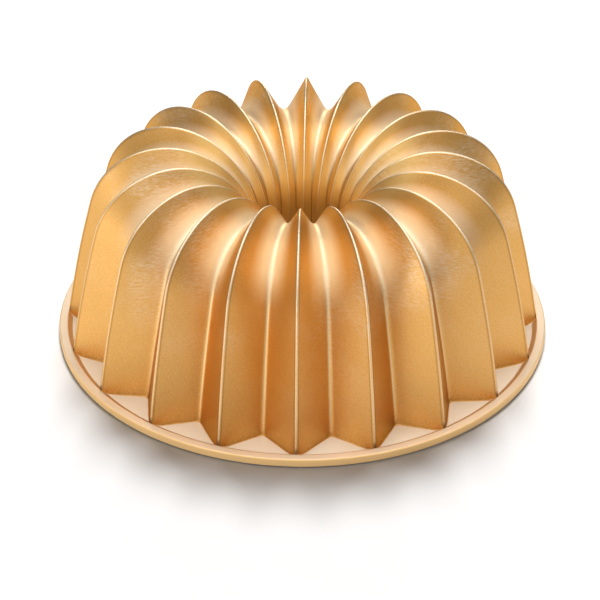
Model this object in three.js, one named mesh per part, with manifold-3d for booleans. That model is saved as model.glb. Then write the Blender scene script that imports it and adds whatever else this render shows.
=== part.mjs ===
// A fluted tube pan, standing on its rim with the crown up.
// It is one thin aluminium casting with a coloured coat outside and a non-stick lining inside.
// Lengths are in millimetres, angles in degrees, and +Z is up.
// The origin is the centre of the rim's seat, the flat face that the pan stands on.

import * as THREE from 'three';
import { mergeVertices } from 'three/addons/utils/BufferGeometryUtils.js';
import Module from 'manifold-3d';

// Overall sizes
const fluteCount = 20;
const panHeight = 107;
const rimDiameter = 264;

// The rim: a raised strip round the edge, and the floor of the pockets between the flutes' feet
const rimHeight = 4.7;
const rimStripWidth = 4.6;
const rimCornerRadius = 0.8;
const pocketFloorHeight = 2.8;
const pocketBevelWidth = 2.4;

// The ridges: the circle through their tops, the round of the shoulder, and the throat of the tube
const ridgeTopDiameter = 141;
const ridgeShoulderRadius = 43.5;
const ridgeThroatDiameter = 47;
const ridgeThroatDrop = 55;

// The valleys: how deep and how far in they lie from the ridges, and their own shoulder and throat
const fluteDepthAtRim = 17.4;
const fluteDepthAtCrown = 13.9;
const fluteDepthAtThroat = 3.3;
const valleyTopInset = 9.3;
const valleyShoulderRadius = 35.6;
const valleyThroatDrop = 34.5;

// What the ridges and the valleys share
const wallBowRadius = 660;
const tubeDraft = 4;
const tubeEndHeight = 9;

// The wall, measured square to the flutes' faces, and how far above the seat the coats stop
const castingThickness = 2.6;
const coatThickness = 0.35;
const coatClearance = 0.3;
const coatEdgeHeight = 0.6;

// How finely the curves are divided
const wallSteps = 3;
const shoulderSteps = 6;
const throatSteps = 8;
const cornerSteps = 2;
const rimSidesPerFlute = 4;

// How far a shape runs on past a face that a later cut makes
const cutMargin = 6;

// Sizes that follow from those above
const rimRadius = rimDiameter / 2;
const stripInnerRadius = rimRadius - rimStripWidth;
const pocketBevelAngle = Math.atan2(rimHeight - pocketFloorHeight, pocketBevelWidth);
const ridgeTopRadius = ridgeTopDiameter / 2;
const ridgeThroatRadius = ridgeThroatDiameter / 2;
const valleyTopRadius = ridgeTopRadius - valleyTopInset;
const draftAngle = THREE.MathUtils.degToRad(tubeDraft);
const upward = Math.PI / 2;

// Depths of the faces of the coat, the casting and the lining below the pan's outer surface
const coatBack = coatThickness;
const castingFront = coatBack + coatClearance;
const castingBack = castingFront + castingThickness;
const liningFront = castingBack + coatClearance;
const liningBack = liningFront + coatThickness;

const wasm = await Module();
wasm.setup();

// A point at a distance from a centre, in a plane through the axis: x is the radius, y the height
function polar(centre, distance, angle) {
  const x = centre.x + distance * Math.cos(angle);
  const y = centre.y + distance * Math.sin(angle);
  return new THREE.Vector2(x, y);
}

// The centre of the wall's bow, which passes through the foot and runs into the shoulder's round
function bowCentre(foot, shoulderCentre, shoulderRadius) {
  const span = foot.distanceTo(shoulderCentre);
  const along = shoulderCentre.clone().sub(foot).divideScalar(span);
  const reach = (wallBowRadius ** 2 - (wallBowRadius - shoulderRadius) ** 2 + span ** 2) / (2 * span);
  const aside = Math.sqrt(wallBowRadius ** 2 - reach ** 2);
  const x = foot.x + along.x * reach - along.y * aside;
  const y = foot.y + along.y * reach + along.x * aside;
  return new THREE.Vector2(x, y);
}

// Rows along an arc, after its start: each row is a point and the angle that the surface faces there
function arcRows(centre, radius, startAngle, endAngle, steps) {
  const rows = [];
  for (let step = 1; step <= steps; step += 1) {
    const angle = THREE.MathUtils.lerp(startAngle, endAngle, step / steps);
    rows.push({ point: polar(centre, radius, angle), angle });
  }
  return rows;
}

// Rows down a quarter of an ellipse, after its top, to where it stands upright at the throat
function throatRows(top, width, drop) {
  const rows = [];
  for (let step = 1; step <= throatSteps; step += 1) {
    const turn = upward * step / throatSteps;
    const x = top.x - width * Math.sin(turn);
    const y = top.y - drop * (1 - Math.cos(turn));
    const angle = Math.atan2(Math.cos(turn) / drop, -Math.sin(turn) / width);
    rows.push({ point: new THREE.Vector2(x, y), angle });
  }
  return rows;
}

// The line of a ridge or a valley: up the wall, over the crown, and down the throat into the tube
function fluteLine({ topRadius, topHeight, footRadius, shoulderRadius, throatRadius, throatDrop }) {
  const top = new THREE.Vector2(topRadius, topHeight);
  const foot = new THREE.Vector2(footRadius, rimHeight);
  const shoulderCentre = new THREE.Vector2(topRadius, topHeight - shoulderRadius);
  const wallCentre = bowCentre(foot, shoulderCentre, shoulderRadius);
  const wallStart = Math.asin((-cutMargin - wallCentre.y) / wallBowRadius);
  const wallEnd = Math.atan2(shoulderCentre.y - wallCentre.y, shoulderCentre.x - wallCentre.x);
  const tubeLength = topHeight - throatDrop + cutMargin;
  const tubeEnd = new THREE.Vector2(throatRadius - tubeLength * Math.tan(draftAngle), -cutMargin);

  return [
    { point: polar(wallCentre, wallBowRadius, wallStart), angle: wallStart },
    ...arcRows(wallCentre, wallBowRadius, wallStart, wallEnd, wallSteps),
    ...arcRows(shoulderCentre, shoulderRadius, wallEnd, upward, shoulderSteps),
    ...throatRows(top, topRadius - throatRadius, throatDrop),
    { point: tubeEnd, angle: Math.PI - draftAngle },
  ];
}

const ridgeLine = fluteLine({
  topRadius: ridgeTopRadius,
  topHeight: panHeight,
  footRadius: stripInnerRadius,
  shoulderRadius: ridgeShoulderRadius,
  throatRadius: ridgeThroatRadius,
  throatDrop: ridgeThroatDrop,
});

const valleyLine = fluteLine({
  topRadius: valleyTopRadius,
  topHeight: panHeight - fluteDepthAtCrown,
  footRadius: stripInnerRadius - fluteDepthAtRim,
  shoulderRadius: valleyShoulderRadius,
  throatRadius: ridgeThroatRadius + fluteDepthAtThroat,
  throatDrop: valleyThroatDrop,
});

// How much further a face's depth measures along its row than square to the slanted face
function slantOf(row) {
  const ridge = ridgeLine[row];
  const valley = valleyLine[row];
  const rise = ridge.point.clone().sub(valley.point);
  const fluteDepth = rise.x * Math.cos(ridge.angle) + rise.y * Math.sin(ridge.angle);
  const halfPitch = (ridge.point.x + valley.point.x) / 2 * Math.PI / fluteCount;
  return Math.hypot(1, fluteDepth / halfPitch);
}

// A flute line moved in from the outer surface, closed on itself across the open underside
function sunkProfile(line, depth) {
  const points = line.map(({ point, angle }, row) => polar(point, -depth * slantOf(row), angle));
  points.push(points[0].clone());
  return points;
}

// A closed mesh as a solid that can be joined and cut
function solidOf(geometry) {
  geometry.rotateX(Math.PI / 2);
  geometry.deleteAttribute('normal');
  geometry.deleteAttribute('uv');
  const merged = mergeVertices(geometry);
  const vertProperties = merged.getAttribute('position').array;
  const triVerts = Uint32Array.from(merged.index.array);
  return new wasm.Manifold(new wasm.Mesh({ numProp: 3, vertProperties, triVerts }));
}

// The filled ring under a fluted surface: a turned ridge profile with every other column in the valley
function flutedRing(depth) {
  const ridgeProfile = sunkProfile(ridgeLine, depth);
  const valleyProfile = sunkProfile(valleyLine, depth);
  const geometry = new THREE.LatheGeometry(ridgeProfile, 2 * fluteCount);
  const position = geometry.getAttribute('position');
  for (let column = 1; column < 2 * fluteCount; column += 2) {
    const turn = column * Math.PI / fluteCount;
    valleyProfile.forEach(({ x, y }, row) => {
      const vertex = column * valleyProfile.length + row;
      position.setXYZ(vertex, x * Math.sin(turn), y, x * Math.cos(turn));
    });
  }
  return solidOf(geometry);
}

// The rim's flange, with its strip, bevel and pocket floor moved in from the outer surface
function rimRing(depth) {
  const outerRadius = rimRadius - depth;
  const stripHeight = rimHeight - depth;
  const bevelShift = depth * Math.tan(pocketBevelAngle / 2);
  const bevelTopRadius = stripInnerRadius + bevelShift;
  const cornerRadius = Math.max(rimCornerRadius - depth, depth);
  const innerRadius = valleyLine[0].point.x - castingThickness;
  const corner = new THREE.Vector2(outerRadius - cornerRadius, stripHeight - cornerRadius);
  const profile = [
    new THREE.Vector2(innerRadius, -cutMargin),
    new THREE.Vector2(outerRadius, -cutMargin),
    polar(corner, cornerRadius, 0),
    ...arcRows(corner, cornerRadius, 0, Math.PI / 2, cornerSteps).map(({ point }) => point),
    new THREE.Vector2(bevelTopRadius, stripHeight),
    new THREE.Vector2(bevelTopRadius - pocketBevelWidth, pocketFloorHeight - depth),
    new THREE.Vector2(innerRadius, pocketFloorHeight - depth),
    new THREE.Vector2(innerRadius, -cutMargin),
  ];
  return solidOf(new THREE.LatheGeometry(profile, rimSidesPerFlute * fluteCount));
}

// A disc that reaches from below every shape up to a height, to cut a flat face there
function discBelow(height, radius) {
  const bottom = -2 * cutMargin - panHeight;
  const profile = [
    new THREE.Vector2(0, bottom),
    new THREE.Vector2(radius, bottom),
    new THREE.Vector2(radius, height),
    new THREE.Vector2(0, height),
  ];
  return solidOf(new THREE.LatheGeometry(profile, 2 * fluteCount));
}

// The rim and the fluted ring as one form, as the pan looks from outside at that depth
function panForm(depth) {
  return flutedRing(depth).add(rimRing(depth));
}

// Trims a skin of the pan at its lower edge and at the end of the tube
function trimmed(skin, edgeHeight) {
  const belowEdge = discBelow(edgeHeight, 2 * rimRadius);
  const belowTube = discBelow(tubeEndHeight, valleyTopRadius);
  return skin.subtract(belowEdge).subtract(belowTube);
}

// A named mesh of a finished solid
function meshOf(name, solid, material) {
  const { vertProperties, triVerts } = solid.getMesh();
  const geometry = new THREE.BufferGeometry();
  geometry.setAttribute('position', new THREE.BufferAttribute(vertProperties, 3));
  geometry.setIndex(new THREE.BufferAttribute(triVerts, 1));
  geometry.computeVertexNormals();
  const mesh = new THREE.Mesh(geometry, material);
  mesh.name = name;
  return mesh;
}

// The casting: rim, fluted wall, crown and tube in one, open underneath
function panCasting() {
  const solid = trimmed(panForm(castingFront).subtract(flutedRing(castingBack)), 0);
  const material = new THREE.MeshStandardMaterial({
    color: 0xb4b6b8,
    roughness: 0.5,
    metalness: 1,
    flatShading: true,
  });
  return meshOf('pan_casting', solid, material);
}

// The coat that shows: satin gold over the crown, the flutes, the tube and the rim
function outerCoat() {
  const solid = trimmed(panForm(0).subtract(panForm(coatBack)), coatEdgeHeight);
  const material = new THREE.MeshStandardMaterial({
    color: 0xd39a55,
    roughness: 0.38,
    metalness: 0.9,
    flatShading: true,
  });
  return meshOf('outer_coat', solid, material);
}

// The lining on the side that holds the batter
function nonstickLining() {
  const solid = trimmed(flutedRing(liningFront).subtract(flutedRing(liningBack)), coatEdgeHeight);
  const material = new THREE.MeshStandardMaterial({
    color: 0xb0803f,
    roughness: 0.55,
    metalness: 0.6,
    flatShading: true,
  });
  return meshOf('nonstick_lining', solid, material);
}

const pan = new THREE.Group();
pan.name = 'fluted_tube_pan';
pan.add(panCasting());
pan.add(outerCoat());
pan.add(nonstickLining());

export default pan;
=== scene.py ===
# A fluted tube pan standing on its rim on a white studio floor, seen from above its front.
# Finer meshes of the same forms replace the frame's three nodes: they add the small rounds of a casting.
# Lengths in the shape code are millimetres. Meshes, lamps and the floor are in metres.

import math

import bmesh
import bpy
import numpy as np
from mathutils import Matrix, Vector


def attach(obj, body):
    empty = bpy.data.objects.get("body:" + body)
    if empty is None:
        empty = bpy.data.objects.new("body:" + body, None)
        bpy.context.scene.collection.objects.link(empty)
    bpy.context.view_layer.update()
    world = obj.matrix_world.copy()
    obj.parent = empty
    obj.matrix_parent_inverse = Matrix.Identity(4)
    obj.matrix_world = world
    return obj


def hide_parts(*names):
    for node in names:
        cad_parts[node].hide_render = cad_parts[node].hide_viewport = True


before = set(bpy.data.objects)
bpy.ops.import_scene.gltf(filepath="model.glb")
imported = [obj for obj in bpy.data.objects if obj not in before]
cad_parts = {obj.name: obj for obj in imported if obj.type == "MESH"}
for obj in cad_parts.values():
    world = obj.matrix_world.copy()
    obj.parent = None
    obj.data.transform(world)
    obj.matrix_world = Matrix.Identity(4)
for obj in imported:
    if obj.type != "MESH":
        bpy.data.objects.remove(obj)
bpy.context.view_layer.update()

METRES = 0.001

# Sizes of the pan, the same as those of its solids
FLUTES = 20
PAN_HEIGHT = 107.0
RIM_RADIUS = 132.0
RIM_HEIGHT = 4.7
STRIP_INNER_RADIUS = 127.4
RIM_CORNER_RADIUS = 0.8
FLOOR_HEIGHT = 2.8
BEVEL_WIDTH = 2.4
WALL_BOW = 660.0
TUBE_DRAFT = math.radians(4)
TUBE_END = 9.0
COAT_EDGE = 0.6
SEAT_HEIGHT = 0.0
HALF_PITCH = math.pi / FLUTES

# The lines of a ridge and a valley: radius and height of the top, radius of the foot, radius of the shoulder,
# radius of the throat, and how far the throat lies below the top
RIDGE = {"top": (70.5, PAN_HEIGHT), "foot": STRIP_INNER_RADIUS, "shoulder": 43.5,
         "throat": 23.5, "drop": 55.0}
VALLEY = {"top": (61.2, 93.1), "foot": 110.0, "shoulder": 35.6,
          "throat": 26.8, "drop": 34.5}

# Depths of the three pieces' faces below the pan's outer surface
COAT_FRONT, COAT_BACK = 0.0, 0.35
CASTING_FRONT, CASTING_BACK = 0.65, 3.25
LINING_FRONT, LINING_BACK = 3.55, 3.9

# How far the small rounds reach along the faces beside them, on the wall and on the crown
RIDGE_ROUND_WALL, RIDGE_ROUND_CROWN = 1.4, 2.2
VALLEY_ROUND_WALL, VALLEY_ROUND_CROWN = 1.9, 8.0
INNER_RIDGE_ROUND, INNER_VALLEY_ROUND = 1.5, 2.2
OUTER_ROUNDS = ((RIDGE_ROUND_WALL, RIDGE_ROUND_CROWN), (VALLEY_ROUND_WALL, VALLEY_ROUND_CROWN))
INNER_ROUNDS = ((INNER_RIDGE_ROUND,) * 2, (INNER_VALLEY_ROUND,) * 2)
FOOT_ROUND = 1.0
FLOOR_ROUND = 0.5
STRIP_ROUND = 0.4

# How fast the rounds grow from wall to crown, and how they narrow inside this radius, towards the tube
ROUND_GROWTH = 1.5
FULL_ROUND_RADIUS = 58.0
LEAST_ROUND_SHARE = 0.35

# The most of a straight stretch that one round may take, and the length below which a stretch counts as none
ROUND_LIMIT = 0.45
NO_LENGTH = 1e-6

# How far the lines run on below the rim before they are cut off
BELOW = 6.0

# Rows on the wall, the shoulder and the throat, and how the wall's rows gather at its foot
FINE_ROWS = (14, 18, 22)
PLAIN_ROWS = (6, 9, 12)
TUBE_STEPS = 4
FOOT_GATHER = 1.5

# Columns in half a round, and where the other columns lie across a face
ROUND_COLUMNS = 3
FACE_SHARES = (0.0, 0.05, 0.2, 0.4, 0.6, 0.8, 0.95)

# Rows of the rim's section, in order from the wall's foot to the rim's lower edge
FOOT_BEND = (0.2, 0.4, 0.6, 0.8, 1.0)
FLOOR_STEPS = 5
FLOOR_BEND = (0.33, 0.67, 1.0)
BEVEL_STEPS = 2
STRIP_BEND = (0.25, 0.5, 0.75, 1.0)
STRIP_STEPS = 4
CORNER_BEND = (0.17, 0.33, 0.5, 0.67, 0.83, 1.0)
SIDE_STEPS = 2

# Steps across the casting's bare seat
SEAT_STEPS = 4

# Which of the section's rows lie on a pocket's floor and on the strip, each with a row of the bend after it
FLOOR_START = len(FOOT_BEND)
FLOOR_STOP = FLOOR_START + FLOOR_STEPS + 2
STRIP_START = FLOOR_START + FLOOR_STEPS + len(FLOOR_BEND) + BEVEL_STEPS + len(STRIP_BEND)
STRIP_STOP = STRIP_START + STRIP_STEPS + 2

# How much of the pocket floor's pale tone, a painted light, the bevel and the strip have
BEVEL_PALE = 0.3
STRIP_PALE = 0.7

# The painted shade at the wall's foot: its rows on the rim and how fast it fades upwards
FOOT_ROWS = 4
FOOT_SHADE = 7.0

# The painted shade spot at each ridge's foot: its rows on the rim, its height and how near the ridge it
# starts
PIT_ROWS = 7
PIT_HEIGHT = 2.5
PIT_CREST = 0.1

# How the marks of crown and throat fade down the wall
WALL_FADE = 2

# Points nearer than this are joined, and edges sharper than this stay sharp
JOIN_DISTANCE = 0.002
SHARP_ANGLE = math.radians(50)

# The camera of the photograph, with its place and aim in millimetres
CAMERA_PLACE = (23.98, -1043.8, 700.0)
CAMERA_AIM = (-1.28, -0.03, 13.27)
CAMERA_ROLL = math.radians(0.125)
CAMERA_LENS = 137.95
CAMERA_SENSOR = 36.0

# The floor's half width, its level just under the pan, and where and how far it is lifted to white
FLOOR_HALF = 20.0
FLOOR_LEVEL = -0.0001
LIFT_START, LIFT_STOP = 0.2, 0.5
LIFT = 0.2

# The strength of the soft light from all round
WORLD_STRENGTH = 0.18

# The lamps: name, place, height of the point on the pan's axis that they aim at, width, height and radiance
PAN_LAMPS = (
    ("ceiling", (0.0, 0.0, 2.1), 0.05, 2.4, 2.4, 1.0),
    ("top", (0.0, 0.42, 1.53), 0.05, 0.8, 0.8, 3.0),
    ("upper_left", (-0.80, -0.70, 1.20), 0.05, 0.6, 0.6, 3.2),
    ("upper_right", (0.80, -0.70, 1.20), 0.05, 0.6, 0.6, 2.0),
    ("right", (1.10, 0.20, 1.10), 0.05, 0.6, 0.6, 2.2),
    ("left", (-1.17, -1.05, 0.14), 0.03, 0.8, 0.26, 4.2),
    ("front_left", (-0.70, -1.41, 0.14), 0.03, 0.8, 0.24, 2.4),
    ("front", (0.0, -1.40, 0.75), 0.05, 0.8, 0.4, 1.5),
    ("top_front", (0.0, -1.00, 1.25), 0.05, 0.8, 0.6, 1.2),
    ("back", (0.0, 1.50, 0.50), 0.07, 0.8, 0.4, 7.0),
)
FLOOR_LAMP = ("floor_lamp", (0.06, 1.30, 2.02), 0.0, 1.0, 0.75, 32.0)


def flute_line(line, rows):
    """Points (radius, height) and facing angles of a ridge or valley, from below the rim over the crown."""
    wall_rows, shoulder_rows, throat_rows = rows
    top = np.array(line["top"])
    foot = np.array((line["foot"], RIM_HEIGHT))
    shoulder = line["shoulder"]
    centre = top - (0, shoulder)
    span = np.linalg.norm(centre - foot)
    along = (centre - foot) / span
    reach = (WALL_BOW ** 2 - (WALL_BOW - shoulder) ** 2 + span ** 2) / (2 * span)
    aside = math.sqrt(WALL_BOW ** 2 - reach ** 2)
    bow = foot + along * reach + np.array((-along[1], along[0])) * aside
    start = math.asin((-BELOW - bow[1]) / WALL_BOW)
    end = math.atan2(centre[1] - bow[1], centre[0] - bow[0])

    wall = np.linspace(start, end, wall_rows + 1)[:-1]
    wall_points = bow + WALL_BOW * np.column_stack((np.cos(wall), np.sin(wall)))
    crown = np.linspace(end, math.pi / 2, shoulder_rows + 1)[:-1]
    crown_points = centre + shoulder * np.column_stack((np.cos(crown), np.sin(crown)))
    turn = np.linspace(0, math.pi / 2, throat_rows + 1)
    width = top[0] - line["throat"]
    throat_points = top + np.column_stack((-width * np.sin(turn), -line["drop"] * (1 - np.cos(turn))))
    throat = np.arctan2(np.cos(turn) / line["drop"], -np.sin(turn) / width)
    fall = top[1] - line["drop"] + BELOW
    tube_point = np.array([(line["throat"] - fall * math.tan(TUBE_DRAFT), -BELOW)])
    points = np.vstack((wall_points, crown_points, throat_points, tube_point))
    angles = np.concatenate((wall, crown, throat, (math.pi - TUBE_DRAFT,)))
    return points, angles


def sunk_lines(depth, rows):
    """The ridge's and valley's lines at a depth square to the faces, and how far they face up and in."""
    ridge, ridge_angle = flute_line(RIDGE, rows)
    valley, valley_angle = flute_line(VALLEY, rows)
    ridge_normal = np.column_stack((np.cos(ridge_angle), np.sin(ridge_angle)))
    valley_normal = np.column_stack((np.cos(valley_angle), np.sin(valley_angle)))
    flute_depth = ((ridge - valley) * ridge_normal).sum(1)
    half_width = (ridge[:, 0] + valley[:, 0]) / 2 * HALF_PITCH
    slant = np.hypot(1, flute_depth / half_width)[:, None]
    upward = np.clip(np.sin(ridge_angle), 0, 1)
    inward = np.clip(-np.cos(ridge_angle), 0, 1)
    return ridge - depth * slant * ridge_normal, valley - depth * slant * valley_normal, upward, inward


def placed(points, azimuth):
    """Points (radius, height) turned to an azimuth, in space."""
    radius, height = points[:, 0], points[:, 1]
    return np.column_stack((radius * math.cos(azimuth), radius * math.sin(azimuth), height))


def turned(points, pitches):
    """Points turned about the pan's axis by a number of flutes."""
    return points @ np.array(Matrix.Rotation(2 * HALF_PITCH * pitches, 3, "Z")).T


def bend(start, corner, end, shares):
    """Points of a round from start to end that would meet at the corner."""
    return [(1 - t) ** 2 * start + 2 * t * (1 - t) * corner + t ** 2 * end for t in shares]


def round_reach(sizes, narrow, upward):
    """How far a round reaches in each row, between its sizes on the wall and on the crown."""
    on_wall, on_crown = sizes
    return (narrow * (on_wall + (on_crown - on_wall) * upward ** ROUND_GROWTH))[:, None]


def flute_columns(depth, rows, rounds, keep_lines):
    """The columns of one flute, from one ridge's middle to the next, with their marks across and along."""
    ridge_line, valley_line, upward, inward = sunk_lines(depth, rows)
    narrow = np.clip(ridge_line[:, 0] / FULL_ROUND_RADIUS, LEAST_ROUND_SHARE, 1)
    ridge_reach, valley_reach = (round_reach(sizes, narrow, upward) for sizes in rounds)
    ridge, next_ridge = placed(ridge_line, 0), placed(ridge_line, 2 * HALF_PITCH)
    last_valley, valley = placed(valley_line, -HALF_PITCH), placed(valley_line, HALF_PITCH)
    length = np.linalg.norm(ridge - valley, axis=1)[:, None]
    if keep_lines:
        # A round's middle lies half-way between its corner and its ends, so the corner first moves out
        raised = 0.5 * ridge_reach / length
        lowered = 0.5 * valley_reach / length
        new_ridge = ridge + raised * (ridge - (valley + last_valley) / 2)
        valley = valley + lowered * (valley - (ridge + next_ridge) / 2)
        ridge = new_ridge
        next_ridge = turned(ridge, 1)
        last_valley = turned(valley, -1)
        length = np.linalg.norm(ridge - valley, axis=1)[:, None]

    out = ridge + (valley - ridge) * ridge_reach / length
    before = ridge + (last_valley - ridge) * ridge_reach / length
    into = valley + (ridge - valley) * valley_reach / length
    back = valley + (next_ridge - valley) * valley_reach / length
    meet = next_ridge + (valley - next_ridge) * ridge_reach / length
    after = turned(out, 1)

    first_half = np.linspace(0, 0.5, ROUND_COLUMNS + 1)[:-1]
    second_half = np.linspace(0.5, 1, ROUND_COLUMNS + 1)[:-1]
    whole = np.linspace(0, 1, 2 * ROUND_COLUMNS + 1)[:-1]
    face = np.array(FACE_SHARES)
    strips = (
        (bend(before, ridge, out, second_half), 2 - 2 * second_half, 0 * second_half, 0 * second_half),
        ([out + (into - out) * share for share in face], 0 * face, 0 * face, face),
        (bend(into, valley, back, whole), 0 * whole, 1 - np.abs(2 * whole - 1), 0 * whole + 1),
        ([back + (meet - back) * share for share in face], 0 * face, 0 * face, 1 - face),
        (bend(meet, next_ridge, after, first_half), 2 * first_half, 0 * first_half, 0 * first_half),
    )
    columns, crest, groove, hollow = (np.concatenate(parts) for parts in zip(*strips))
    # The brinks of the ridges' rounds, where painted shade lies beside each ridge
    brink = np.zeros(len(crest))
    brink[[ROUND_COLUMNS, len(crest) - ROUND_COLUMNS]] = 1
    across = {"crest": crest, "groove": groove, "hollow": hollow, "brink": brink}
    return columns, across, {"crown": upward, "throat": inward}


def rim_corners(depth, bottom):
    """The rim's corners at a depth: floor's outer end, strip's inner and outer edge, lower edge."""
    bevel_angle = math.atan2(RIM_HEIGHT - FLOOR_HEIGHT, BEVEL_WIDTH)
    strip_inner = STRIP_INNER_RADIUS + depth * math.tan(bevel_angle / 2)
    strip_height = RIM_HEIGHT - depth
    return (
        np.array((strip_inner - BEVEL_WIDTH, FLOOR_HEIGHT - depth)),
        np.array((strip_inner, strip_height)),
        np.array((RIM_RADIUS - depth, strip_height)),
        np.array((RIM_RADIUS - depth, bottom)),
    )


def cut_column(column, last_wall_row, level):
    """The wall part of a column above a level, which depends on the radius, from its foot upwards."""
    wall = column[:last_wall_row + 1]
    height = wall[:, 2] - level(np.hypot(wall[:, 0], wall[:, 1]))
    first = int(np.argmax(height > 0))
    share = height[first - 1] / (height[first - 1] - height[first])
    foot = wall[first - 1] + (wall[first] - wall[first - 1]) * share
    return np.vstack((foot, wall[first:]))


def along_line(points, distances):
    """Points at distances along a line of points."""
    steps = np.linalg.norm(np.diff(points, axis=0), axis=1)
    travelled = np.concatenate(((0,), np.cumsum(steps)))
    return np.column_stack([np.interp(distances, travelled, points[:, axis]) for axis in range(3)])


def line_length(points):
    """The length of a line of points."""
    return float(np.linalg.norm(np.diff(points, axis=0), axis=1).sum())


def straight(start, end, count):
    """Points after the start, up to and with the end."""
    return [start + (end - start) * (k + 1) / count for k in range(count)]


def rim_section(wall, depth, bottom):
    """The section from a column's foot over the pocket's floor, bevel and strip to the rim's lower edge."""
    floor_end, strip_in, strip_out, lower_edge = rim_corners(depth, bottom)
    foot = np.array((math.hypot(wall[0, 0], wall[0, 1]), wall[0, 2]))
    above = along_line(wall, [FOOT_ROUND])[0]
    on_wall = np.array((math.hypot(above[0], above[1]), above[2]))
    has_floor = foot[0] < floor_end[0] - NO_LENGTH
    has_bevel = foot[0] < strip_in[0] - NO_LENGTH
    path = [foot] + ([floor_end] if has_floor else []) + ([strip_in] if has_bevel else []) + [strip_out]
    first_run = np.linalg.norm(path[1] - path[0])
    foot_reach = min(FOOT_ROUND, ROUND_LIMIT * first_run)
    heading = (path[1] - path[0]) / first_run
    landing = foot + heading * foot_reach
    lift = foot + (on_wall - foot) * foot_reach / FOOT_ROUND
    points = [lift] + bend(lift, foot, landing, FOOT_BEND)

    if has_floor:
        reach = min(FLOOR_ROUND, ROUND_LIMIT * first_run)
        rise = (strip_in - floor_end) / np.linalg.norm(strip_in - floor_end)
        leave = floor_end - heading * reach
        climb = floor_end + rise * reach
        points += straight(landing, leave, FLOOR_STEPS)
        points += bend(leave, floor_end, climb, FLOOR_BEND)
        here = climb
    else:
        points += [landing] * (FLOOR_STEPS + len(FLOOR_BEND))
        here = landing
    outward = np.array((1.0, 0.0))
    if has_bevel:
        bevel_run = np.linalg.norm(strip_in - here)
        rise = (strip_in - here) / bevel_run
        reach = min(STRIP_ROUND, ROUND_LIMIT * bevel_run)
        near_edge = strip_in - rise * reach
        over_edge = strip_in + outward * reach
        points += straight(here, near_edge, BEVEL_STEPS)
        points += bend(near_edge, strip_in, over_edge, STRIP_BEND)
        here = over_edge
    else:
        points += [here] * (BEVEL_STEPS + len(STRIP_BEND))
    corner = max(RIM_CORNER_RADIUS - depth, depth)
    turn_in = strip_out - outward * corner
    turn_out = strip_out - np.array((0, corner))
    points += straight(here, turn_in, STRIP_STEPS)
    points += bend(turn_in, strip_out, turn_out, CORNER_BEND)
    points += straight(turn_out, lower_edge, SIDE_STEPS)
    azimuth = math.atan2(wall[0, 1], wall[0, 0])
    return placed(np.array(points), azimuth), foot_reach


def low_marks(rim, climb, floor_radius):
    """The marks of one column's lower rows, from the wall's top to the rim's lower edge."""
    downward = climb[::-1]
    rows = np.arange(len(rim))
    # Painted light on the pockets: full on the floors, less on the bevel and the strip
    pocket = np.zeros(len(rim))
    pocket[FLOOR_STOP:STRIP_START] = BEVEL_PALE
    pocket[STRIP_START:STRIP_STOP] = STRIP_PALE
    if math.hypot(rim[0, 0], rim[0, 1]) < floor_radius - FOOT_ROUND:
        pocket[FLOOR_START:FLOOR_STOP] = 1
    # foot and pit carry painted shade; pocket and side carry painted light
    return {
        "foot": np.concatenate((np.exp(-downward / FOOT_SHADE), rows < FOOT_ROWS)),
        "pocket": np.concatenate((0 * downward, pocket)),
        "pit": np.concatenate((downward < PIT_HEIGHT, rows < PIT_ROWS)),
        "side": np.concatenate((0 * downward, rows >= STRIP_STOP)),
    }


def fluted_surface(depth, rows, rounds, bottom, outside):
    """A grid of points for one flute, with its columns running from the tube's end to the foot or the rim."""
    columns, across, along = flute_columns(depth, rows, rounds, keep_lines=outside)
    wall_rows = rows[0]
    floor_end, strip_in = rim_corners(depth, bottom)[:2]

    def rim_level(radius):
        return np.interp(radius, (floor_end[0], strip_in[0]), (floor_end[1], strip_in[1]))

    def flat_level(radius):
        return np.full_like(radius, bottom)

    grid, lower_marks = [], []
    for column in columns:
        wall = cut_column(column, wall_rows, rim_level if outside else flat_level)
        throat_end, tube_end = column[-2], column[-1]
        share = (throat_end[2] - TUBE_END) / (throat_end[2] - tube_end[2])
        tube = straight(throat_end, throat_end + (tube_end - throat_end) * share, TUBE_STEPS)
        if outside:
            rim, start = rim_section(wall, depth, bottom)
        else:
            rim, start = wall[:1], 0.0
        climb = start + (line_length(wall) - start) * np.linspace(0, 1, wall_rows + 1)[1:] ** FOOT_GATHER
        column_points = np.vstack((rim[::-1], along_line(wall, climb), column[wall_rows + 1:-1], tube))
        grid.append(column_points[::-1])
        lower_marks.append(low_marks(rim, climb, floor_end[0]))

    rows_above = len(column_points) - len(rim) - wall_rows
    above_rim = np.concatenate((np.ones(rows_above + wall_rows), np.zeros(len(rim))))
    marks = {label: np.outer(shares, above_rim) for label, shares in across.items()}
    for label, shares in along.items():
        rise = shares[wall_rows + 1] * np.linspace(0, 1, wall_rows + 1)[1:] ** WALL_FADE
        tube_share = np.full(TUBE_STEPS, shares[-1])
        upward = np.concatenate((np.zeros(len(rim)), rise, shares[wall_rows + 1:-1], tube_share))
        marks[label] = np.tile(upward[::-1], (len(columns), 1))
    plain = np.zeros(rows_above)
    for label in lower_marks[0]:
        marks[label] = np.array([np.concatenate((plain, lower[label])) for lower in lower_marks])
    marks["pit"] *= (across["crest"] > PIT_CREST)[:, None]
    return np.array(grid), marks


def outer_surface(depth, rows, bottom):
    """The outer side at a depth, with the rim."""
    return fluted_surface(depth, rows, OUTER_ROUNDS, bottom, outside=True)


def inner_surface(depth, rows, bottom):
    """The batter side at a depth, which ends at the wall's foot."""
    return fluted_surface(depth, rows, INNER_ROUNDS, bottom, outside=False)


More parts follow.
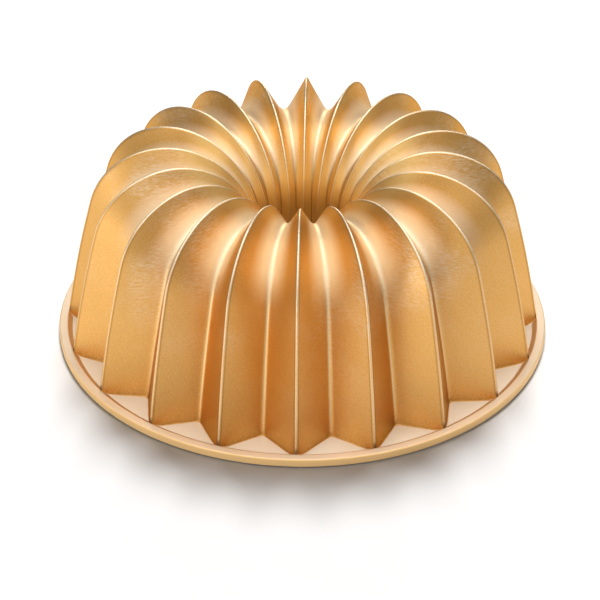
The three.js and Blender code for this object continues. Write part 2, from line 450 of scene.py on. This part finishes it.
def closed_mesh(name, outside, inside, edge_steps=1):
    """A closed piece between two surfaces of a flute, repeated all round, with its marks."""
    (front, front_marks), (behind, back_marks) = outside, inside
    edge = [front[:, -1] + (behind[:, -1] - front[:, -1]) * k / edge_steps for k in range(1, edge_steps)]
    section = np.concatenate([front] + [row[:, None] for row in edge] + [behind[:, ::-1]], axis=1)
    points = np.concatenate([turned(section, flute) for flute in range(FLUTES)]) * METRES
    columns, rows = points.shape[:2]
    index = np.arange(columns * rows).reshape(columns, rows)
    right = np.roll(index, -1, axis=0)
    quads = np.stack((index, right, np.roll(right, -1, axis=1), np.roll(index, -1, axis=1)), -1)
    mesh = bpy.data.meshes.new(name)
    mesh.from_pydata(points.reshape(-1, 3).tolist(), [], quads.reshape(-1, 4).tolist())
    plain = np.zeros((len(front), edge_steps - 1))
    for label in front_marks:
        shares = np.concatenate((front_marks[label], plain, back_marks[label][:, ::-1]), axis=1)
        values = np.tile(shares, (FLUTES, 1)).astype(np.float32).ravel()
        mesh.attributes.new(label, "FLOAT", "POINT").data.foreach_set("value", values)
    smooth_mesh(mesh)
    piece = bpy.data.objects.new(name, mesh)
    bpy.context.scene.collection.objects.link(piece)
    return piece


def smooth_mesh(mesh):
    """Joins the points that fall together at the ridges' feet, faces the mesh outward and smooths it."""
    work = bmesh.new()
    work.from_mesh(mesh)
    bmesh.ops.remove_doubles(work, verts=work.verts, dist=JOIN_DISTANCE * METRES)
    bmesh.ops.recalc_face_normals(work, faces=work.faces)
    if work.calc_volume(signed=True) < 0:
        bmesh.ops.reverse_faces(work, faces=work.faces)
    work.to_mesh(mesh)
    work.free()
    mesh.shade_smooth()
    mesh.set_sharp_from_angle(angle=SHARP_ANGLE)


coat = closed_mesh("gold_coat", outer_surface(COAT_FRONT, FINE_ROWS, COAT_EDGE),
                   outer_surface(COAT_BACK, PLAIN_ROWS, COAT_EDGE))
casting = closed_mesh("cast_body", outer_surface(CASTING_FRONT, PLAIN_ROWS, SEAT_HEIGHT),
                      inner_surface(CASTING_BACK, PLAIN_ROWS, SEAT_HEIGHT), SEAT_STEPS)
lining = closed_mesh("release_lining", inner_surface(LINING_FRONT, PLAIN_ROWS, COAT_EDGE),
                     inner_surface(LINING_BACK, FINE_ROWS, COAT_EDGE))
for piece, node in ((coat, "outer_coat"), (casting, "pan_casting"), (lining, "nonstick_lining")):
    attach(piece, "root")
    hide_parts(node)


class Graph:
    """A material's nodes, made and joined in short calls."""

    # Sockets of a mix node that hold its two tones and the result
    FIRST_TONE, SECOND_TONE, MIXED_TONE = 6, 7, 2

    def __init__(self, name):
        self.material = bpy.data.materials.new(name)
        self.material.use_nodes = True
        self.tree = self.material.node_tree
        self.tree.nodes.clear()
        self.place = self.node("ShaderNodeTexCoord").outputs["Object"]

    def node(self, kind, inputs=None, **settings):
        """A node with its settings, and its inputs set or linked."""
        made = self.tree.nodes.new(kind)
        for key, value in settings.items():
            setattr(made, key, value)
        for key, value in (inputs or {}).items():
            if isinstance(value, bpy.types.NodeSocket):
                self.tree.links.new(value, made.inputs[key])
            else:
                made.inputs[key].default_value = value
        return made

    def noise(self, scale, detail, roughness, vector=None):
        """A noise in the pan's own space."""
        made = self.node("ShaderNodeTexNoise", {
            "Vector": vector or self.place, "Scale": scale, "Detail": detail, "Roughness": roughness})
        return made.outputs["Fac"]

    def stretched(self, scale):
        """The pan's own space, scaled along each axis."""
        made = self.node("ShaderNodeMapping", {"Vector": self.place, "Scale": scale})
        return made.outputs["Vector"]

    def ranged(self, value, low, high, to_low, to_high):
        """A value mapped from one range to another and held at its ends."""
        made = self.node("ShaderNodeMapRange", {
            "Value": value, "From Min": low, "From Max": high, "To Min": to_low, "To Max": to_high})
        return made.outputs["Result"]

    def math(self, operation, a, b):
        """Two values put together."""
        made = self.node("ShaderNodeMath", {0: a, 1: b}, operation=operation)
        return made.outputs["Value"]

    def times(self, a, b):
        """The product of two values."""
        return self.math("MULTIPLY", a, b)

    def mix(self, share, a, b):
        """A tone between two, with a share of the second."""
        tones = {"Factor": share, self.FIRST_TONE: a, self.SECOND_TONE: b}
        return self.node("ShaderNodeMix", tones, data_type="RGBA").outputs[self.MIXED_TONE]

    def attribute(self, name):
        """A mark of the mesh."""
        return self.node("ShaderNodeAttribute", attribute_name=name).outputs["Fac"]

    def mark(self, name, low, high, to_low, to_high):
        """A mark of the mesh, mapped from one range to another."""
        return self.ranged(self.attribute(name), low, high, to_low, to_high)

    def bump(self, height, distance, strength, normal=None):
        """Small relief, with its depth in millimetres."""
        inputs = {"Height": height, "Distance": distance * METRES, "Strength": strength}
        if normal is not None:
            inputs["Normal"] = normal
        return self.node("ShaderNodeBump", inputs).outputs["Normal"]

    def finish(self, shader):
        """The material, with a shader as its surface."""
        out = self.node("ShaderNodeOutputMaterial")
        self.tree.links.new(shader.outputs[0], out.inputs["Surface"])
        return self.material


def colour(red, green, blue):
    """A colour without transparency."""
    return (red, green, blue, 1.0)


# Tones of the gold coat, among them painted highlights, painted light and painted shade
GOLD, GOLD_CLOUD = colour(0.78, 0.42, 0.115), colour(0.85, 0.475, 0.145)
LIGHT_FLECK, DARK_FLECK = colour(0.94, 0.68, 0.36), colour(0.55, 0.27, 0.06)
RUBBED_CROWN = colour(0.93, 0.72, 0.48)
# Painted light: paler gold inside the throat, in its upper part and deeper down
UPPER_THROAT_PAINTED_LIGHT, DEEP_THROAT_PAINTED_LIGHT = colour(1.0, 0.68, 0.25), colour(1.0, 0.72, 0.28)
# Painted highlights in the crown's hollows and along the valleys
CROWN_HOLLOW_HIGHLIGHT, VALLEY_HIGHLIGHT = colour(1.0, 0.87, 0.65), colour(0.97, 0.76, 0.46)
# Painted shade in the valleys' seams deep in the throat
THROAT_SEAM_SHADE = colour(0.34, 0.15, 0.035)
# Painted shade on the ridges' brinks; the ridges' pale edge is part wear, part painted highlight
RIDGE_BRINK_SHADE, RIDGE_WEAR_AND_HIGHLIGHT = colour(0.42, 0.20, 0.05), colour(1.0, 0.88, 0.68)
# Painted shade at the wall's foot and in the pits at the ridges' feet
PAINTED_FOOT_SHADE, PAINTED_PIT_SHADE = colour(0.40, 0.19, 0.04), colour(0.10, 0.045, 0.015)
# Painted light: a paler tone on the rim's side and on the pockets' floors
RIM_SIDE_PAINTED_LIGHT, POCKET_PAINTED_LIGHT = colour(1.0, 0.65, 0.29), colour(1.0, 0.92, 0.77)
GOLD_GLINT = colour(0.45, 0.27, 0.11)

# Tones of the other two materials and the floor
ALUMINIUM, ALUMINIUM_CLOUD = colour(0.58, 0.58, 0.59), colour(0.68, 0.68, 0.69)
RELEASE, RELEASE_CLOUD = colour(0.46, 0.27, 0.11), colour(0.54, 0.33, 0.14)
RELEASE_FLECK = colour(0.72, 0.50, 0.26)
FLOOR_DARK, FLOOR_LIGHT = colour(0.89, 0.89, 0.89), colour(0.91, 0.91, 0.91)
WHITE = colour(1, 1, 1)

# How many patches of each noise lie along a metre
GOLD_NOISE = {"grain": 1700, "flecks": 2600, "peel": 380, "patch": 26, "cloud": 16}
GOLD_STREAK = (300, 300, 2400)
ALUMINIUM_NOISE = {"grain": 1400, "cloud": 40}
RELEASE_NOISE = {"peel": 520, "cloud": 22, "flecks": 2200}
FLOOR_NOISE = 30


def sprayed_gold(g, cloud):
    """The gold itself, in clouds, with light and dark flecks."""
    flecks = g.noise(GOLD_NOISE["flecks"], 1.0, 0.5)
    tone = g.mix(g.ranged(cloud, 0.35, 0.65, 0, 1), GOLD, GOLD_CLOUD)
    tone = g.mix(g.ranged(flecks, 0.58, 0.72, 0, 0.6), tone, LIGHT_FLECK)
    return g.mix(g.ranged(flecks, 0.42, 0.28, 0, 0.5), tone, DARK_FLECK)


def crown_and_throat(g, tone, streak):
    """Rubbed patches on the crown, and painted light that brightens the gold inside the throat."""
    patch = g.times(g.ranged(g.noise(GOLD_NOISE["patch"], 2.0, 0.5), 0.48, 0.62, 0, 1),
                    g.mark("crown", 0.05, 0.4, 0.1, 1))
    tone = g.mix(g.times(patch, g.ranged(streak, 0.42, 0.62, 0, 0.6)), tone, RUBBED_CROWN)
    # Painted light in the throat, in its upper part and deeper down
    inner = g.times(g.mark("throat", 0.02, 0.3, 0, 0.6), g.mark("throat", 0.5, 0.9, 1, 0))
    tone = g.mix(inner, tone, UPPER_THROAT_PAINTED_LIGHT)
    return g.mix(g.mark("throat", 0.7, 1.0, 0, 0.95), tone, DEEP_THROAT_PAINTED_LIGHT)


def valleys(g, tone, glow):
    """Painted highlights in the crown's hollows and along the valleys; painted shade in the throat's seams.
    """
    # Painted highlight in the crown's hollows
    tone = g.mix(glow, tone, CROWN_HOLLOW_HIGHLIGHT)
    # Painted highlight along each valley on the wall
    line = g.times(g.mark("groove", 0.5, 0.95, 0, 0.5), g.mark("throat", 0.3, 0.7, 1, 0))
    tone = g.mix(line, tone, VALLEY_HIGHLIGHT)
    # Painted shade in the seams of the throat's valleys
    seam_shade = g.times(g.mark("groove", 0.1, 0.8, 0, 0.65), g.mark("throat", 0.6, 0.95, 0, 1))
    return g.mix(seam_shade, tone, THROAT_SEAM_SHADE)


def ridges(g, tone, grain):
    """Painted shade beside each ridge; its edge is part wear and part painted highlight, lightest on the
    crown.
    """
    # Painted shade along the brinks, less on the crown
    brink = g.times(g.mark("brink", 0.2, 0.9, 0, 0.6), g.mark("crown", 0.4, 0.9, 1, 0.3))
    tone = g.mix(brink, tone, RIDGE_BRINK_SHADE)
    # The pale edge: part wear, part painted highlight where the crest catches light
    edge = g.times(g.mark("crest", 0.2, 0.55, 0, 1), g.ranged(grain, 0.38, 0.55, 0.45, 1.0))
    inside = g.times(g.mark("throat", 0.05, 0.3, 0, 1), g.mark("throat", 0.75, 0.98, 1, 0.3))
    upper = g.math("MAXIMUM", g.attribute("crown"), inside)
    return g.mix(g.times(edge, g.ranged(upper, 0.2, 0.7, 0.4, 1.0)), tone, RIDGE_WEAR_AND_HIGHLIGHT)


def foot_and_rim(g, tone, grain, cloud):
    """Painted shade at the wall's foot and at the ridges' feet, painted light on the rim's side and the
    pockets.
    """
    # Painted shade, darkest at the wall's foot and fading upwards
    foot_shade_share = g.times(g.attribute("foot"), g.ranged(grain, 0.35, 0.6, 0.75, 0.25))
    tone = g.mix(foot_shade_share, tone, PAINTED_FOOT_SHADE)
    # Painted shade in the pits at the ridges' feet
    pit = g.times(g.attribute("pit"), g.ranged(grain, 0.35, 0.6, 0.95, 0.7))
    tone = g.mix(pit, tone, PAINTED_PIT_SHADE)
    # Painted light on the rim's side
    tone = g.mix(g.attribute("side"), tone, RIM_SIDE_PAINTED_LIGHT)
    # Painted light on the pockets' floors, and less on the bevel and the strip
    pale = g.times(g.attribute("pocket"), g.ranged(cloud, 0.3, 0.7, 0.85, 1.0))
    return g.mix(pale, tone, POCKET_PAINTED_LIGHT)


def gold_paint():
    """Satin metallic gold with a sand-like grain, painted light and painted shade; nearly without metal on
    the pockets' floors and the rim.
    """
    g = Graph("satin_gold_coat")
    grain = g.noise(GOLD_NOISE["grain"], 2.0, 0.6)
    peel = g.noise(GOLD_NOISE["peel"], 2.0, 0.5)
    cloud = g.noise(GOLD_NOISE["cloud"], 3.0, 0.55)
    streak = g.noise(1.0, 2.0, 0.6, g.stretched(GOLD_STREAK))
    # Painted highlight in the crown's hollows, which also makes them rougher
    glow = g.times(g.mark("hollow", 0.45, 0.95, 0, 0.75), g.mark("crown", 0.25, 0.75, 0, 1))
    tone = crown_and_throat(g, sprayed_gold(g, cloud), streak)
    tone = ridges(g, valleys(g, tone, glow), grain)
    tone = foot_and_rim(g, tone, grain, cloud)
    # Nearly no metal where light is painted, on the pockets and the rim's side
    flat = g.math("MAXIMUM", g.times(g.attribute("pocket"), 0.9), g.attribute("side"))
    metal = g.ranged(flat, 0, 1, 0.97, 0.08)
    rough = g.math("ADD", g.ranged(cloud, 0.3, 0.7, 0.41, 0.46), g.ranged(grain, 0.3, 0.7, -0.03, 0.05))
    rough = g.math("ADD", rough, g.times(glow, 0.14))
    normal = g.bump(peel, 0.06, 0.3)
    normal = g.bump(streak, 0.04, 0.5, normal)
    normal = g.bump(grain, 0.05, 0.5, normal)
    shader = g.node("ShaderNodeBsdfPrincipled", {
        "Base Color": tone, "Metallic": metal, "Roughness": rough, "Normal": normal,
        "Specular Tint": GOLD_GLINT, "Coat Weight": 0.08, "Coat IOR": 1.5, "Coat Roughness": 0.25})
    return g.finish(shader)


def bare_aluminium():
    """The casting's own metal, with a fine satin grain."""
    g = Graph("bare_cast_aluminium")
    grain = g.noise(ALUMINIUM_NOISE["grain"], 3.0, 0.6)
    cloud = g.noise(ALUMINIUM_NOISE["cloud"], 3.0, 0.55)
    tone = g.mix(g.ranged(cloud, 0.35, 0.65, 0, 1), ALUMINIUM, ALUMINIUM_CLOUD)
    rough = g.ranged(grain, 0.3, 0.7, 0.36, 0.52)
    normal = g.bump(grain, 0.05, 0.4)
    shader = g.node("ShaderNodeBsdfPrincipled", {
        "Base Color": tone, "Metallic": 1.0, "Roughness": rough, "Normal": normal})
    return g.finish(shader)


def release_coat():
    """A smooth satin release coat, in a browner gold."""
    g = Graph("satin_release_coat")
    peel = g.noise(RELEASE_NOISE["peel"], 2.0, 0.5)
    cloud = g.noise(RELEASE_NOISE["cloud"], 3.0, 0.55)
    flecks = g.noise(RELEASE_NOISE["flecks"], 1.0, 0.5)
    tone = g.mix(g.ranged(cloud, 0.35, 0.65, 0, 1), RELEASE, RELEASE_CLOUD)
    tone = g.mix(g.ranged(flecks, 0.64, 0.76, 0, 0.4), tone, RELEASE_FLECK)
    rough = g.ranged(cloud, 0.3, 0.7, 0.40, 0.50)
    normal = g.bump(peel, 0.05, 0.3)
    shader = g.node("ShaderNodeBsdfPrincipled", {
        "Base Color": tone, "Metallic": 0.7, "Roughness": rough, "Normal": normal})
    return g.finish(shader)


coat.data.materials.append(gold_paint())
casting.data.materials.append(bare_aluminium())
lining.data.materials.append(release_coat())


def white_floor():
    """Matt white that keeps the shadow; further out, what is seen directly or in metal is lifted to white."""
    g = Graph("white_floor")
    dust = g.noise(FLOOR_NOISE, 2.0, 0.5)
    tone = g.mix(dust, FLOOR_DARK, FLOOR_LIGHT)
    away = g.node("ShaderNodeVectorMath", {0: g.place}, operation="LENGTH").outputs["Value"]
    matt = g.node("ShaderNodeBsdfDiffuse", {"Color": tone})
    path = g.node("ShaderNodeLightPath").outputs
    seen = g.math("MAXIMUM", path["Is Camera Ray"], path["Is Glossy Ray"])
    seen = g.math("MAXIMUM", seen, path["Is Transmission Ray"])
    lift = g.ranged(away, LIFT_START, LIFT_STOP, 0.0, LIFT)
    glow = g.node("ShaderNodeEmission", {"Color": WHITE, "Strength": g.times(seen, lift)})
    return g.finish(g.node("ShaderNodeAddShader", {0: matt.outputs[0], 1: glow.outputs[0]}))


def studio_floor():
    """A wide square under the pan."""
    mesh = bpy.data.meshes.new("studio_floor")
    corners = [(x * FLOOR_HALF, y * FLOOR_HALF, FLOOR_LEVEL) for x, y in ((-1, -1), (1, -1), (1, 1), (-1, 1))]
    mesh.from_pydata(corners, [], [(0, 1, 2, 3)])
    mesh.materials.append(white_floor())
    floor = bpy.data.objects.new("studio_floor", mesh)
    bpy.context.scene.collection.objects.link(floor)
    return floor


def studio_world():
    """Soft light from all round."""
    world = bpy.data.worlds.new("studio")
    bpy.context.scene.world = world
    world.use_nodes = True
    soft = world.node_tree.nodes["Background"]
    soft.inputs["Color"].default_value = WHITE
    soft.inputs["Strength"].default_value = WORLD_STRENGTH


def lit_group(name, pieces):
    """A collection that says which things a lamp lights."""
    group = bpy.data.collections.new(name)
    for piece in pieces:
        group.objects.link(piece)
    return group


def softbox(name, place, aim_height, width, height, radiance, lights):
    """A rectangular lamp that shines from a place towards the pan's axis, on one group of things."""
    data = bpy.data.lights.new(name, "AREA")
    data.shape = "RECTANGLE"
    data.size, data.size_y = width, height
    data.energy = radiance * math.pi * width * height
    lamp = bpy.data.objects.new(name, data)
    lamp.location = place
    direction = Vector((0, 0, aim_height)) - Vector(place)
    lamp.rotation_euler = direction.to_track_quat("-Z", "Y").to_euler()
    lamp.light_linking.receiver_collection = lights
    bpy.context.scene.collection.objects.link(lamp)


def photo_camera():
    """The camera that sees the pan as the photograph does."""
    place = Vector(CAMERA_PLACE) * METRES
    aim = Vector(CAMERA_AIM) * METRES
    forward = (aim - place).normalized()
    right = forward.cross(Vector((0, 0, 1))).normalized()
    up = right.cross(forward)
    across = right * math.cos(CAMERA_ROLL) + up * math.sin(CAMERA_ROLL)
    upright = up * math.cos(CAMERA_ROLL) - right * math.sin(CAMERA_ROLL)
    data = bpy.data.cameras.new("photo_camera")
    data.sensor_width = CAMERA_SENSOR
    data.lens = CAMERA_LENS
    camera = bpy.data.objects.new("photo_camera", data)
    view = Matrix((across, upright, -forward)).transposed().to_4x4()
    view.translation = place
    camera.matrix_world = view
    bpy.context.scene.collection.objects.link(camera)
    bpy.context.scene.camera = camera


on_floor = lit_group("lit_floor", [studio_floor()])
on_pan = lit_group("lit_pan", [coat, casting, lining])
studio_world()
for lamp in PAN_LAMPS:
    softbox(*lamp, on_pan)
softbox(*FLOOR_LAMP, on_floor)
photo_camera()
bpy.context.scene.view_settings.view_transform = "Standard"
